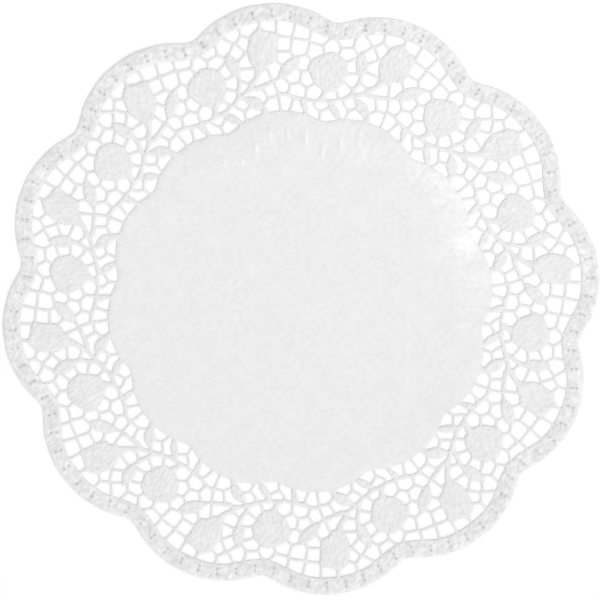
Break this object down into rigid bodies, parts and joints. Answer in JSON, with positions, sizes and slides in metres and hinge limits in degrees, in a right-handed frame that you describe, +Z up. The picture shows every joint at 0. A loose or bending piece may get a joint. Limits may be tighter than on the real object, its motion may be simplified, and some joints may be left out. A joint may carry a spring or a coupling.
{
  "type": "paper doily",
  "caption": "Round flat paper doily with a scalloped embossed border, an openwork lace band of flowers, leaves and stems, and a plain middle.",
  "frame": {"origin": "centre of the round outline, on the flat underside that lies on the table", "axes": "+Z up out of the embossed side of the sheet, +X to the right and +Y to the top of the view from above"},
  "size_m": [0.3578, 0.3578, 0.0014],
  "materials": {
    "paper": "white, matt, finely embossed"
  },
  "bodies": {
    "root": {"doily": "paper"}
  },
  "joints": []
}
